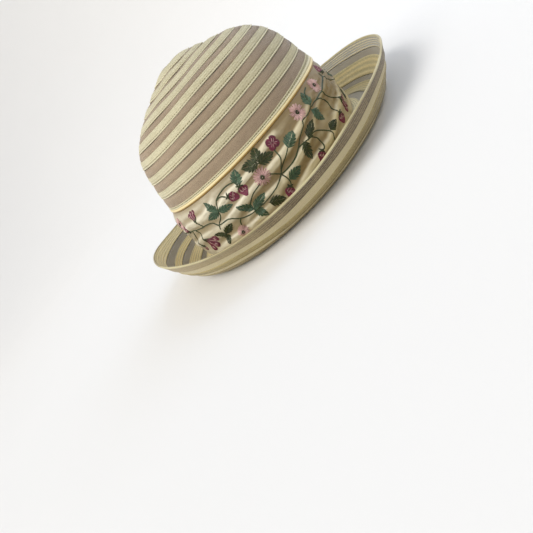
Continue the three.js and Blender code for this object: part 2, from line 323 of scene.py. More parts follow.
# Straw rows of the crown: flat braid of pale straw with a chevron plait, each row finished by a
# fine cord along its lower edge. The cord is sewn on through a narrow groove and stands proud, so
# every row steps out over the sheer cloth below it.
ROW_FACE = -0.7 * MM
CORD_SET = 0.25 * MM
STRAW_WALL = 1.3 * MM
CORD_WIDTH = 1.35 * MM
GROOVE_WIDTH = 0.9 * MM
GROOVE_DEPTH = 0.35 * MM
PLAIT_WIDTH = 2.6 * MM
PLAIT_DEPTH = 0.08 * MM
UPPER_ROUND = 0.7 * MM
UPPER_DROP = 0.6 * MM
STRAND_DEPTH = 0.3 * MM
# Length, in cells, of the stitches that show as dark dashes in the groove.
DASH_LENGTH = 2.4
ROW_GRID = (320, 24)


def braid_stand(way, width):
    """Stand of a crown row at a distance from its lower edge: cord, groove, plaits, upper edge."""
    if way < CORD_WIDTH:
        radius = CORD_WIDTH / 2
        return math.sqrt(max(0, radius**2 - (way - radius) ** 2)) - radius - CORD_SET
    if way < CORD_WIDTH + GROOVE_WIDTH:
        dip = math.sin(math.pi * (way - CORD_WIDTH) / GROOVE_WIDTH)
        return ROW_FACE - GROOVE_DEPTH * dip
    plait = PLAIT_DEPTH * math.cos(TURN * (way - CORD_WIDTH - GROOVE_WIDTH) / PLAIT_WIDTH)
    end = max(0, way - width + UPPER_ROUND) / UPPER_ROUND
    return ROW_FACE - PLAIT_DEPTH + plait - UPPER_DROP * end**2


def straw_finish(name, pale, deep, ribbed, corded=False, lit_back_span=(-0.11, 0.1, 0.25)):
    """Plaited straw: fine chevrons across each plait, painted darker in the grooves between strands as
    painted shade.
    ribbed is how far the plaits stand out over the strands. The last argument gives where the painted
    light that makes the straw lighter towards the back starts and ends, and by how much."""
    finish = Finish(name, Roughness=0.55, Sheen_Weight=0.2, Sheen_Roughness=0.35)
    along, across = finish.cells()
    chevron = across.math("PINGPONG", PLAIT_WIDTH / 2 / MM)
    strand = ((along * 0.8 + chevron * 0.7) * TURN).math("SINE") * 0.5 + 0.5
    plait = (across * (TURN * MM / PLAIT_WIDTH)).math("COSINE") * 0.5 + 0.5
    weave = strand * (1 - ribbed) + plait * ribbed
    mottled = finish.cloudy(60)
    flecked = finish.step(finish.cloudy(800, 2), 0.38, 0.62)
    # Painted light: the straw is painted lighter towards the back, where the light falls.
    painted_back_light = finish.lit_towards_back(*lit_back_span[:2]) * lit_back_span[2]
    contrast = 0.4 + 0.5 * ribbed
    # Random tone of the straw, plus the painted light at the back.
    tone_drift = flecked * 0.25 + mottled * 0.4 + painted_back_light - 0.22 - ribbed * 0.12
    # The colour follows the weave's relief: painted shade where it sinks.
    colour = finish.mix(weave * contrast + tone_drift, deep, pale)
    if corded:
        twist = ((along * 0.5 + across * 0.6) * TURN).math("SINE") * 0.5 + 0.5
        edge = finish.step(across, (CORD_WIDTH + 0.15 * MM) / MM, (CORD_WIDTH - 0.05 * MM) / MM)
        groove = finish.step((across - (CORD_WIDTH + GROOVE_WIDTH / 2) / MM).math("ABSOLUTE"), 0.9, 0.2)
        dashes = 0.2 + 0.35 * (along * (TURN / DASH_LENGTH)).math("SINE") + 0.6 * flecked
        # The cord is painted near the pale colour, darker in the hollows of its twist: painted shade.
        colour = finish.mix(edge, colour, finish.mix(twist * 0.4 + 0.7, deep, pale))
        # The groove is painted darker all along as painted shade, with darker dashes for its stitches.
        colour = finish.mix(groove * dashes, colour, dyed(128, 118, 76))
        weave = weave * (1 - edge) + twist * edge
    finish.paint(colour)
    finish.relief(weave, STRAND_DEPTH)
    return finish


crown_straw_finish = straw_finish(
    "crown_straw", dyed(232, 224, 190), dyed(164, 153, 110), 0.15, corded=True,
    lit_back_span=(-0.11, 0.1, 0.4),
)


def row_ring(row, foot, wider=0.0):
    """Mesh of a crown row. foot gives the share of its step of the crown's line where it starts.
    wider is a share that is added to its width at the front."""
    lower = TOP - row
    step = (CROWN_LINE[lower + 1] - CROWN_LINE[lower]).length
    share = STRAW_SHARES.get(row, LAST_SHARE)
    width = step * share

    def place(turn, across):
        stand = braid_stand(across * width, width)
        spread = share + wider * max(0, -math.sin(turn)) ** 1.5
        return crown_point(turn, lower + foot(turn) + across * spread, stand)

    girth = TURN * CROWN_LINE[lower].x * (1 + WIDTH_RATIO) / 2
    cells = (2 * round(girth / MM / 2), width / MM)
    return round_grid(place, *ROW_GRID, cells)


for row in STRAW_ROWS[:-1]:
    ring = sewn_piece(
        f"straw_row_{row}", row_ring(row, lambda turn: 0), crown_straw_finish, "straw",
        f"crown_straw_{row}",
    )
    give_wall(ring, STRAW_WALL, -1)

# Tip of the crown: the braid coils into a small flat button that closes the top. It is worked
# like the rows, from a corded edge inwards, and sewn over the end of the last sheer strip.
TIP_REACH = 24 * MM
TIP_GRID = (160, 60)
TIP_CELLS = (84, TIP_REACH / MM)


def tip_point(turn, across):
    return crown_point(turn, TOP - 1 + across, braid_stand(across * TIP_REACH, 2 * TIP_REACH))


tip_mesh = round_grid(tip_point, *TIP_GRID, TIP_CELLS)
tip = sewn_piece("straw_tip", tip_mesh, crown_straw_finish, "straw", "crown_tip")
give_wall(tip, STRAW_WALL, -1)

# Satin band: a scarf of cream satin drawn once round the crown and stitched down at both edges.
# It is cut wider than the space it covers, so the spare cloth lies in long slanting folds.
BAND_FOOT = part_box("band")[0].z
BAND_TOP = 66 * MM
BAND_BACK_RISE = 1 * MM
BAND_FLARE = 3.5 * MM
BAND_BACK_FLARE = 8.5 * MM
GAP = 0.3 * MM
SATIN_WALL = 0.6 * MM
SATIN_FACE = 1.5 * MM
SATIN_DEPTH = 0.06 * MM
SATIN_GRID = (520, 64)
SATIN_CELLS = (626, 60)
HEM_ROLL = 1.4 * MM
FOLD_SINK = 0.4 * MM
# How fast the folds start from the two sewn edges, and how fast the roll of the hem ends.
FOLDS_FROM_HEM = 12
FOLDS_FROM_TOP = 10
ROLL_END = 14
# Height of the puckers, creases and wrinkles, and how close they lie round the hat and up it.
PUCKER = 0.9 * MM
PUCKER_ROUND = 5
PUCKER_HEIGHT = 26 * MM
CREASE = 0.9 * MM
CREASE_ROUND = 9
CREASE_HEIGHT = 7 * MM
CREASE_SLANT = 6 * MM
WRINKLE = 0.7 * MM
WRINKLE_SCALE = 2.3
# Painted light and shade on the satin, 0 in a hollow and 1 on a crest: its level off the folds, the way
# up and down that a fold is measured against and the rise that gains 1. The hollows are painted shade
# and the crests painted highlight. It is painted darker on the front and under the piping, as painted
# shade, and the folds of the front count for less.
CREST_LEVEL = 0.42
CREST_SPAN = 5 * MM
CREST_RISE = 2 * MM
FRONT_SHADE = 0.75
FRONT_HEIGHT = 30 * MM
FRONT_REACH = 20 * MM
FRONT_EVEN = 0.45
EDGE_SHADE = 0.6
EDGE_REACH = 4 * MM
# A fold bends a little off its straight line and is steeper above its ridge than below.
FOLD_BEND = 1.5
FOLD_STEEP = 0.65
FOLD_GENTLE = 1.15
# Each fold: turn and height of its two ends in degrees and mm, depth and half width in mm.
FOLDS = [
    (124, 33, 218, 56, 3.2, 5),
    (138, 50, 186, 62, 2.4, 3.6),
    (144, 25, 206, 38, 2.2, 4),
    (112, 15, 176, 25, 1.6, 3.4),
    (168, 12, 222, 27, 1.8, 3.6),
    (186, 36, 244, 59, 1.7, 3.4),
    (202, 22, 266, 46, 1.5, 4.2),
    (92, 46, 142, 58, 1.8, 3.6),
    (84, 26, 138, 40, 2.0, 4),
    (230, 14, 276, 30, 1.1, 3.8),
]


def band_top(turn):
    return BAND_TOP + BAND_BACK_RISE * max(0, math.sin(turn)) ** 2


def fold_depth(turn, height):
    """How far the spare cloth stands up at a place on the band."""
    depth = 0
    for half in (0, 180):
        for start, low, end, high, rise, width in FOLDS:
            way = ((math.degrees(turn) - half - start) % 360) / (end - start)
            if way >= 1:
                continue
            ridge = low + (high - low) * way + FOLD_BEND * math.sin(3 * TURN * way / 2 + start)
            off = (height / MM - ridge) / width
            sharp = FOLD_STEEP if off > 0 else FOLD_GENTLE
            depth += rise * math.sin(math.pi * way) ** 0.6 * math.exp(-((off / sharp) ** 2))
    return depth * MM


def satin_point(turn, height, lift=0.0):
    """Point on the outer face of the satin, or a lift above it."""
    rise = held_in((height - BAND_FOOT) / (band_top(turn) - BAND_FOOT))
    across, along = math.cos(turn), math.sin(turn)
    flare = (1 - rise**8) * (1 - 0.1 * rise)
    off = flare * (BAND_FLARE + (BAND_BACK_FLARE - BAND_FLARE) * max(0, along) ** 2)
    held = min(1, FOLDS_FROM_HEM * rise, FOLDS_FROM_TOP * (1 - rise))
    off += held * (fold_depth(turn, height) - FOLD_SINK)
    puckered = Vector((PUCKER_ROUND * across, PUCKER_ROUND * along, height / PUCKER_HEIGHT))
    off += held * PUCKER * noise.noise(puckered)
    slanted = (height - CREASE_SLANT * along) / CREASE_HEIGHT
    creased = Vector((CREASE_ROUND * across, CREASE_ROUND * along, slanted))
    off += held * CREASE * (0.5 - abs(noise.noise(creased)) * 1.6)
    off += held * WRINKLE * (0.4 - abs(noise.noise(creased * WRINKLE_SCALE)))
    off -= HEM_ROLL * max(0, 1 - ROLL_END * rise) ** 2
    share = (height - CROWN_LINE[0].y) / (LAST_ROW_HEIGHT - CROWN_LINE[0].y)
    reach = CROWN_LINE[0].x + (LAST_ROW_REACH - CROWN_LINE[0].x) * share
    return oval_point(turn, reach, SHEER_FACE + GAP + SATIN_FACE + off + lift, height)


def band_point(turn, across):
    return satin_point(turn, BAND_FOOT + across * (band_top(turn) - BAND_FOOT))


def crest_of(turn, height):
    """Painted light of a place on the band: painted highlight where it stands out, painted shade in the
    hollows, on the front and under the piping.
    """
    around = sum(fold_depth(turn, height + off) for off in (-CREST_SPAN, CREST_SPAN)) / 2
    ahead = -math.sin(turn)
    front = held_in(ahead + 0.15) * held_in((height - FRONT_HEIGHT) / FRONT_REACH)
    edge = held_in((height - band_top(turn)) / EDGE_REACH + 1)
    counted = 1 - FRONT_EVEN * held_in((ahead - 0.15) / 0.5)
    out = counted * (fold_depth(turn, height) - around) / CREST_RISE
    return CREST_LEVEL - FRONT_SHADE * front - EDGE_SHADE * edge + out


def satin_finish(name):
    """Satin: smooth floats of silk along the cloth. Whoever asks for it paints it."""
    finish = Finish(name, Roughness=0.37, Sheen_Weight=0.25, Sheen_Roughness=0.3, Anisotropic=0.5)
    float_line = (finish.cells()[1] * (TURN * 2)).math("SINE") * 0.5 + 0.5
    finish.relief(float_line * 0.5 + finish.cloudy(260, 2) * 0.5, SATIN_DEPTH)
    return finish


satin_cream = satin_finish("cream_satin")
# The satin is painted from the hollow colour, painted shade, to the crest colour, painted highlight, by
# the painted light kept on the mesh; both are painted lighter towards the back, where the light falls.
crest = satin_cream.kept_on_mesh("crest")
lit_fold = satin_cream.step(crest + satin_cream.cloudy(120, 2) * 0.3, 0.1, 1.0)
crest_highlight_colour = satin_cream.mix(satin_cream.lit_towards_back(), dyed(218, 203, 160), dyed(222, 214, 190))
hollow_shade_colour = satin_cream.mix(satin_cream.lit_towards_back(0), dyed(134, 114, 76), dyed(166, 151, 120))
satin_cream.paint(satin_cream.mix(lit_fold, hollow_shade_colour, crest_highlight_colour))
band_mesh = round_grid(band_point, *SATIN_GRID, SATIN_CELLS)
crest_layer = band_mesh.verts.layers.float.new("crest")
# Each point of the band keeps its painted light.
for vert in band_mesh.verts:
    turn = math.atan2(vert.co.y - AXIS_Y, vert.co.x / WIDTH_RATIO) % TURN
    vert[crest_layer] = crest_of(turn, vert.co.z)
band = sewn_piece("satin_scarf", band_mesh, satin_cream, "satin", "band")
give_wall(band, SATIN_WALL, -1)

# Embroidery: a flowering vine worked in silk thread on the satin before it was draped. Leaves are
# slanting stitches from a midrib, daisies rings of long loops, buds drops of satin stitch with
# light loops, and stems lines of short overlapping stitches. The far half repeats the near one.
THREAD_DEPTH = 0.1 * MM
VINE_HEIGHT = 38 * MM
# The stitches are laid on the cloth as if it were flat, with all their measures in mm.
STEM_RISE = 0.8
STEM_STEP = 1.25
THREAD_SINK = 0.12
random.seed(11)
# Way round the satin at the vine's height, up to each whole degree.
ROUND_LENGTH = [0.0]
for degree in range(360):
    here, there = (satin_point(math.radians(degree + more), VINE_HEIGHT).xy for more in (0, 1))
    ROUND_LENGTH.append(ROUND_LENGTH[-1] + (there - here).length / MM)
THREADS = {
    "olive": (dyed(68, 78, 36), dyed(14, 18, 6)),
    "teal": (dyed(88, 116, 88), dyed(16, 38, 26)),
    "stem": (dyed(62, 76, 36), dyed(26, 34, 12)),
    "pink": (dyed(228, 192, 184), dyed(116, 64, 70)),
    "magenta": (dyed(138, 46, 76), dyed(58, 12, 30)),
}
sewing = {}
for thread in THREADS:
    sewing[thread] = bmesh.new()
    sewing[thread].verts.layers.float.new("shade")
patch = bpy.data.meshes.new("patch")


def flat(angle, height):
    """Place on the cloth laid flat, in mm, of an angle and a height on the hat."""
    whole, rest = divmod(angle, 360)
    start, end = ROUND_LENGTH[int(rest)], ROUND_LENGTH[int(rest) + 1]
    return Vector((whole * ROUND_LENGTH[360] + start + (end - start) * (rest - int(rest)), height))


def aimed(degrees):
    """Direction on the flat cloth, at an angle from its length."""
    turn = math.radians(degrees)
    return Vector((math.cos(turn), math.sin(turn)))


def on_hat(place):
    """Point on the satin of a place on the cloth laid flat, with its height above the cloth."""
    length = place.x % ROUND_LENGTH[360]
    degree = bisect.bisect_right(ROUND_LENGTH, length) - 1
    share = (length - ROUND_LENGTH[degree]) / (ROUND_LENGTH[degree + 1] - ROUND_LENGTH[degree])
    return satin_point(math.radians(degree + share), place.y * MM, place.z * MM)


def work(thread, stitches, darkest=0.0, lightest=1.0):
    """Threads laid on the satin: (start, end, width, rise) each, ends drawn into the cloth. Each
    gets a tone between the darkest and the lightest, with painted shade towards its ends."""
    bm = bmesh.new()
    shade = bm.verts.layers.float.new("shade")
    for start, end, width, rise in stitches:
        made = bmesh.ops.create_grid(bm, x_segments=4, y_segments=3, size=0.5)["verts"]
        tone = random.uniform(darkest, lightest)
        lie = end - start
        side = lie.orthogonal().normalized()
        for vert in made:
            way, off = vert.co.x + 0.5, vert.co.y * 2
            swell = math.sin(math.pi * (0.1 + 0.8 * way)) ** 0.5
            place = start + lie * way + side * (off * swell * width / 2)
            stand = rise * swell * (1 - off * off) - THREAD_SINK
            vert.co = on_hat(place.to_3d() + Vector((0, 0, stand)))
            # Random tone of the stitch, painted lighter at its middle and darker at its ends where it
            # dips into the cloth: painted light and shade.
            vert[shade] = 0.75 * tone + 0.25 * swell
    bm.to_mesh(patch)
    bm.free()
    sewing[thread].from_mesh(patch)


def curve_through(points, step):
    """Points every step along a smooth curve through the given ones."""
    ends = [points[0] * 2 - points[1], *points, points[-1] * 2 - points[-2]]
    curve = []
    for index in range(1, len(ends) - 2):
        before, first, second, after = ends[index - 1:index + 3]
        count = max(1, round((second - first).length / step))
        for part in range(count):
            way = part / count
            bend = (second - before) * way * (1 - way) ** 2 - (after - first) * way**2 * (1 - way)
            curve.append(first.lerp(second, eased_share(way)) + bend / 2)
    return curve + [points[-1]]


def stem(points, width=1.35, thread="stem"):
    """Stem stitch along a curve: each thread starts beside the middle of the one before."""
    curve = curve_through(points, STEM_STEP)
    stitches = []
    for index in range(len(curve) - 1):
        end = curve[min(index + 2, len(curve) - 1)]
        side = (end - curve[index]).orthogonal().normalized() * 0.14
        stitches.append((curve[index] - side, end + side, width, STEM_RISE))
    work(thread, stitches)


def leaf(thread, base, tip, width):
    """Serrated leaf: slanting stitches from the midrib to a toothed edge on both sides."""
    lie = tip - base
    side = lie.orthogonal().normalized()
    count = max(7, round(lie.length / 0.62))
    stitches = []
    for hand in (-1, 1):
        for index in range(count):
            way = (index + 0.4) / count
            reach = min(1, way + 0.2 * (1 - way) + 0.02)
            tooth = 0.74 + 0.26 * ((way * 4.5 + 0.3) % 1)
            half = width * 0.6 * math.sin(math.pi * reach**0.75) ** 0.7 * tooth
            start = base + lie * way + side * hand * 0.1
            stitches.append((start, base + lie * reach + side * hand * max(0.4, half), 0.9, 0.6))
    work(thread, stitches)
    stem([base - lie * 0.06, base + lie * 0.3, base + lie * 0.6], 0.6, thread)


def daisy(centre, radius):
    """Ring of pink loops round a small dark eye with a pale knot in it."""
    petals = 17
    ground, loops = [], []
    for petal in range(petals):
        ray = aimed(360 * (petal + 0.3 * random.random()) / petals)
        far = radius * (0.9 + 0.16 * random.random())
        side = ray.orthogonal() * radius * 0.055
        ground.append((centre + ray * radius * 0.15, centre + ray * radius * 0.9, 2.2, 0.5))
        loops.append((centre + ray * radius * 0.24 - side, centre + ray * far - side, 0.62, 1.3))
        loops.append((centre + ray * radius * 0.3 + side, centre + ray * far * 0.95 + side, 0.5, 1.25))
    work("pink", ground, 0, 0.2)
    work("pink", loops, 0.6, 1.2)
    eye = []
    rays = 11
    for ray in range(rays):
        out = aimed(360 * ray / rays)
        eye.append((centre + out * 0.4, centre + out * radius * 0.27, 0.8, 1.3))
    work("stem", eye)
    work("pink", [(centre - Vector((0.5, 0)), centre + Vector((0.5, 0)), 1.0, 1.7)], 0, 0.35)


def bud(centre, radius, aim):
    """Closed bloom: a drop of satin stitch that ends in a point, light loops and three sepals."""
    ahead = aimed(aim)
    side = ahead.orthogonal()
    filling = []
    for row in range(-4, 5):
        off = row / 4
        foot = centre + side * off * radius * 0.62 - ahead * radius * (0.9 - 0.35 * off * off)
        bend = centre + side * off * radius * 1.02 - ahead * radius * 0.1 * (1 - off * off)
        point = centre + ahead * radius * 1.25 + side * off * radius * 0.1
        filling.append((foot, bend, radius * 0.36, 0.8))
        filling.append((bend, point, radius * 0.36, 0.8))
    work("magenta", filling, 0.1, 0.7)
    for off in (-0.5, 0.15):
        loop = [
            centre + side * radius * (off + 0.3) - ahead * radius * 0.6,
            centre + side * radius * off - ahead * radius * 0.25,
            centre + side * radius * (off + 0.05) + ahead * radius * 0.3,
            centre + side * radius * (off + 0.4) + ahead * radius * 0.45,
            centre + side * radius * (off + 0.45) - ahead * radius * 0.05,
        ]
        stem(loop, 0.85, "pink")
    foot = centre - ahead * radius * 0.85
    sepals = [(foot - ahead * radius * 0.3, foot + ahead * radius * 0.3, 1.5, 1.3)]
    for lean in (-125, -70, 70, 125):
        out = aimed(aim + lean) * radius * 0.75
        sepals.append((foot - ahead * radius * 0.1, foot + out, 1.5, 1.3))
    work("olive", sepals, 0, 0.6)


def lobe(middle, out, radius):
    """Round petal of parallel threads with a light curl on it."""
    rows = []
    for row in range(-3, 4):
        half = out * radius * math.sqrt(1 - (row / 4) ** 2)
        across = middle + out.orthogonal() * radius * row / 4
        rows.append((across - half, across + half, radius * 0.58, 0.85))
    work("magenta", rows, 0, 0.7)
    side = out.orthogonal() * radius
    inner, outer = middle - out * radius * 0.75, middle + out * radius * 0.35
    curl = [
        (inner + side * 0.15, outer + side * 0.4, 0.7, 1.2),
        (inner - side * 0.15, outer - side * 0.3, 0.6, 1.2),
    ]
    work("pink", curl, 0.4, 1)


def rosette(centre, radius, aim):
    """Open bloom of four full round lobes."""
    for petal in range(4):
        out = aimed(aim + 45 + 90 * petal)
        lobe(centre + out * radius * 0.56, out, radius * 0.58)


def bell(apex, aim, length, spread):
    """Open bloom: a fan of threads from its stalk, three round lobes at its mouth, three sepals."""
    threads = {"magenta": [], "pink": []}
    rays = 15
    for ray in range(rays):
        ahead = aimed(aim + (ray / (rays - 1) * 2 - 1) * spread)
        thread = "pink" if ray in (4, 10) else "magenta"
        threads[thread].append((apex + ahead * length * 0.12, apex + ahead * length * 0.72, 1.1, 0.8))
    work("magenta", threads["magenta"], 0, 0.7)
    for lean in (-0.85, 0, 0.85):
        ahead = aimed(aim + lean * spread)
        lobe(apex + ahead * length * 0.74, ahead, length * math.radians(spread) * 0.27)
    work("pink", threads["pink"], 0.5, 1)
    sepals = []
    for lean in (-1.1, 0, 1.1):
        ahead = aimed(aim + lean * spread)
        sepals.append((apex - ahead * 0.8, apex + ahead * length * 0.34, 1.3, 1.25))
    work("olive", sepals, 0, 0.6)


# Chart of the vine: angle round the hat in degrees and height in mm.
STEMS = [
    [(82, 44), (90, 47), (98, 45.5), (111.5, 46), (120, 45), (128.5, 44.5), (133, 38.5), (140.5, 37.5),
     (144.5, 30.5), (149, 27.5), (157.5, 26.5), (166, 28.5), (170.5, 31), (173.5, 33.5)],
    [(173.5, 33.5), (175.5, 37.5), (178, 43.5), (179, 52.5)],
    [(173.5, 33.5), (175, 36), (178.5, 39.5), (183.5, 45)],
    [(173.5, 33.5), (176, 32.8), (179.5, 33), (184, 34.5), (188.5, 38.5), (191.5, 42.5), (196.5, 46.5),
     (197.5, 50)],
    [(187.5, 37.5), (190.5, 37), (193.5, 36)],
    [(173.5, 33.5), (172, 37), (169.8, 41.5)],
    [(173.5, 33.5), (174.2, 27.5), (174, 22.5), (172.5, 18.5)],
    [(164, 42), (161, 41), (157.5, 39.5), (153, 34)],
    [(193.5, 35.5), (197, 36), (201, 33), (205.5, 23.5), (204.5, 15)],
    [(193.5, 35.5), (195.5, 35), (198, 29.5), (198, 22), (196.5, 19)],
    [(207, 50), (212, 50), (216, 46), (218.5, 40), (217.5, 33.5), (218, 27.5)],
    [(212, 50), (219, 49.5), (221.5, 42.5), (224.5, 36.5), (229.5, 30.5)],
    [(214.5, 63), (210, 60.5), (207, 51.5)],
    [(233, 58.5), (232, 54.5), (235, 48.5), (248.5, 38.5), (255, 36), (262, 44)],
    [(138.5, 48.5), (137, 43), (133.5, 39), (132, 34.5)],
    [(138.5, 48.5), (140, 52), (141.5, 56.5), (145.5, 59), (150.5, 60), (155, 58), (155.5, 53.5)],
    [(142, 56.5), (144.5, 57), (147.5, 54)],
    [(144.5, 30.5), (143, 28.5), (142, 25)],
    [(122.5, 55), (122, 50), (123.5, 45.3)],
    [(115, 45.6), (116.5, 40), (115.5, 34)],
    [(111, 46), (106.5, 36), (104, 26)],
    [(197.5, 50), (203, 49), (207, 51)],
    [(219, 49.5), (226, 52), (232, 54.5)],
    [(257, 37.5), (260, 44), (261.5, 53)],
]
# Leaves: thread, angle and height of the base and of the tip, width in mm.
LEAVES = [
    ("olive", 170, 55.5, 173, 66, 9.5),
    ("olive", 169.5, 55, 162, 61, 10),
    ("olive", 169.5, 54.5, 178, 51.5, 9.5),
    ("olive", 193.5, 35.5, 202.5, 43, 8),
    ("olive", 191, 37.5, 189, 21.5, 9.5),
    ("olive", 160.5, 24, 167.5, 15.5, 9.5),
    ("olive", 206, 24, 213.5, 24.5, 8),
    ("olive", 131.5, 27.5, 139.5, 33, 7),
    ("olive", 131.5, 27.5, 125, 32.5, 6),
    ("olive", 131.5, 27.5, 128, 16.5, 7),
    ("olive", 240, 21, 248, 34, 6),
    ("olive", 257, 37, 262, 24, 8),
    ("olive", 268, 45.5, 274, 33, 7),
    ("teal", 155.5, 54.5, 159.5, 65, 10),
    ("teal", 183.5, 45, 191, 51, 10),
    ("teal", 174.5, 25, 182.5, 26, 9.5),
    ("teal", 153, 29, 147.5, 41.5, 8),
    ("teal", 153, 29, 162, 33, 8),
    ("teal", 153, 29, 156, 15.5, 8),
    ("teal", 207, 51.5, 209.5, 64, 8),
    ("teal", 206, 48.5, 208.5, 33.5, 8.5),
    ("teal", 138.5, 48.5, 134.5, 62, 7),
    ("teal", 138.5, 48.5, 147, 45, 7),
    ("teal", 138.5, 48.5, 130, 47.5, 7),
    ("teal", 252, 37, 250.5, 52, 8),
    ("teal", 268, 45.5, 272, 59, 7.5),
]
# Blooms: angle, height, radius in mm and, but for a daisy, the direction that they point in.
DAISIES = [(166.5, 44.5, 8.4), (199.5, 57, 7.7), (140.5, 19.5, 6.6), (219.5, 58, 7), (101.5, 56.5, 7)]
ROSETTES = [(180.5, 57, 5.6, 90)]
BUDS = [
    (156, 48.5, 4.7, -90),
    (150, 50, 4.8, -45),
    (171, 17.5, 4.4, -135),
    (193.5, 16.5, 4.7, -135),
    (218.5, 20.5, 4.8, -100),
    (237, 60, 4.4, 80),
    (106, 49, 3.6, 110),
    (105, 22.5, 3.4, -110),
    (261.5, 57, 4.2, 80),
]
# Bells: angle, height, direction, length in mm and half of their spread in degrees.
BELLS = [(227.5, 31, -55, 17, 38), (115.5, 34.5, -58, 19, 40), (122.5, 53, 100, 12, 32)]
for half in (0, 180):
    for points in STEMS:
        stem([flat(angle + half, height) for angle, height in points])
    for thread, base, low, end, high, width in LEAVES:
        leaf(thread, flat(base + half, low), flat(end + half, high), width)
    for angle, height, radius in DAISIES:
        daisy(flat(angle + half, height), radius)
    for angle, height, radius, aim in BUDS:
        bud(flat(angle + half, height), radius, aim)
    for angle, height, radius, aim in ROSETTES:
        rosette(flat(angle + half, height), radius, aim)
    for angle, height, aim, length, spread in BELLS:
        bell(flat(angle + half, height), aim, length, spread)
bpy.data.meshes.remove(patch)
for thread, (light, dark) in THREADS.items():
    finish = Finish(f"silk_{thread}", Roughness=0.58, Sheen_Weight=0.06, Sheen_Roughness=0.3)
    tone = finish.kept_on_mesh("shade")
    twist = finish.cloudy(900, 2)
    # The kept tone, with painted shade towards the ends of each stitch, and darker where the thread's
    # surface sinks: painted shade.
    finish.paint(finish.mix(tone * 0.75 + twist * 0.5 - 0.12, dark, light))
    finish.relief(twist, THREAD_DEPTH)
    sewn_piece(f"embroidery_{thread}", sewing[thread], finish, "satin")

# Piping: the top edge of the scarf, golden satin, is rolled round a soft cord and stitched to the
# crown. Its two ends overlap on the left front.
PIPING_DEPTH = 1.3 * MM
PIPING_RISE = 1.8 * MM
PIPING_GRID = (360, 16)
PIPING_CELLS = (600, 8)
# Place round the roll, in cells, of the lower outer side, which is painted darker: painted shade.
SHADED_CELL = 7.0
# The lap: where round the hat, how far the outer end lifts, and how fast that starts and fades.
LAP_TURN = math.radians(222)
LAP_LIFT = 0.35 * MM
LAP_EDGE = 0.02
LAP_LENGTH = 1.2
piping_finish = satin_finish("golden_satin")
around_roll = piping_finish.cells()[1]
shaded_underside = piping_finish.step((around_roll - SHADED_CELL).math("ABSOLUTE"), 1.2, 0.8)
# The roll is painted gold-brown on its lower outer side: painted shade.
piping_finish.paint(piping_finish.mix(shaded_underside * 0.9, dyed(236, 218, 166), dyed(166, 128, 58)))


def tube_ring(centre, out, depth, rise, grid, cells):
    """Closed roll round the hat. centre(turn) is its middle, out(turn) square to it and level.
    depth and rise are its half sizes."""
    def place(turn, across):
        corner = TURN * across
        side = out(turn) * (depth * math.cos(corner))
        return centre(turn) + side + Vector((0, 0, rise * math.sin(corner)))
    return round_grid(place, *grid, cells)


def piping_middle(turn):
    height = band_top(turn) + PIPING_RISE
    past = turn - LAP_TURN
    lap = LAP_LIFT * math.tanh(past / LAP_EDGE) * max(0, 1 - abs(past) / LAP_LENGTH)
    return oval_point(turn, LAST_ROW_REACH, SHEER_FACE + GAP + PIPING_DEPTH + lap, height)


def level_out(turn):
    return Vector((math.cos(turn) / WIDTH_RATIO, math.sin(turn), 0)).normalized()


piping_mesh = tube_ring(
    piping_middle, level_out, PIPING_DEPTH, PIPING_RISE, PIPING_GRID, PIPING_CELLS
)
sewn_piece("rolled_piping", piping_mesh, piping_finish, "cord", "band_piping")

# Lowest straw row: the same braid as the rows above it, but narrow, a little wider at the front
# and with its foot under the piping, which is why it is made after that.
LAST_WIDER = 0.28


def lowest_row_foot(turn):
    """Share of the lowest row's step that the piping hides."""
    step = CROWN_LINE[2].y - CROWN_LINE[1].y
    return max(0, (band_top(turn) + 2 * PIPING_RISE - CROWN_LINE[1].y) / step)


last_row_mesh = row_ring(9, lowest_row_foot, LAST_WIDER)
last_row = sewn_piece("straw_row_9", last_row_mesh, crown_straw_finish, "straw", "crown_straw_9")
give_wall(last_row, STRAW_WALL, -1)

# Brim: straw braid and sheer cloth sewn in flat rings by turns, from the foot of the crown down
# to the fold that the hat rests on and up to the rim. A straw ring has a cord along both edges.
# The first ring is sewn to the edge of the crown, and the straw holds the whole in shape.
FRONT_POWER = 1.86
# Reach of the fold and of the rim, and the rim's height: front, back and sides.
FOLD = (137 * MM, 123 * MM, 109 * MM)
RIM = (165.5 * MM, 154.5 * MM, 132 * MM)
RIM_HEIGHT = (36 * MM, 48 * MM, 28.5 * MM)
# How far the rim swings up ahead of the sides and down behind them.
RIM_SWING = 5.3 * MM
# Height of the foot above the fold, and of the wall's middle above the floor in the fold.
BRIM_FOOT = 7 * MM
BRIM_REST = 0.65 * MM
# Section of the brim: share of the way to the rim; out, 0 at the crown, 1 at the fold, 2 at the
# rim; lift, a share of the foot's height and, past the fold, of the rim's; bulge at the ends.
BRIM_SECTION = [
    (0, 0, 1, 0),
    (0.12, 0.36, 0.52, 0),
    (0.235, 0.72, 0.16, 0),
    (0.3, 0.92, 0, 0),
    (0.36, 1.06, 0, 0.02),
    (0.405, 1.165, 0.05, 0.06),
    (0.535, 1.405, 0.24, 0.1),
    (0.715, 1.66, 0.53, 0.085),
    (0.83, 1.805, 0.72, 0.055),
    (1, 2, 1, 0),
]
FOLD_PLACE = 0.36
RIM_RIPPLE = 0.35 * MM
RIPPLE_START = 0.4
RIPPLE_GROWTH = 5
SHEER_MIDDLE = SHEER_FACE - 0.55 * MM
SHEER_HALF_WALL = 0.3 * MM
PLAIT_HALF_WALL = 0.55 * MM
CORD_HALF_WALL = 0.25 * MM
CORD_SWELL = 1.25
# Points round a ring and across its two faces.
RING_ROUND = 300
STRAW_ACROSS = 44
SHEER_ACROSS = 16
# Share of a ring's width at its edges where its points lie closer.
EDGE_SHARE = 0.08
# Step to a neighbouring place, to take a direction from.
NEARBY = 0.01
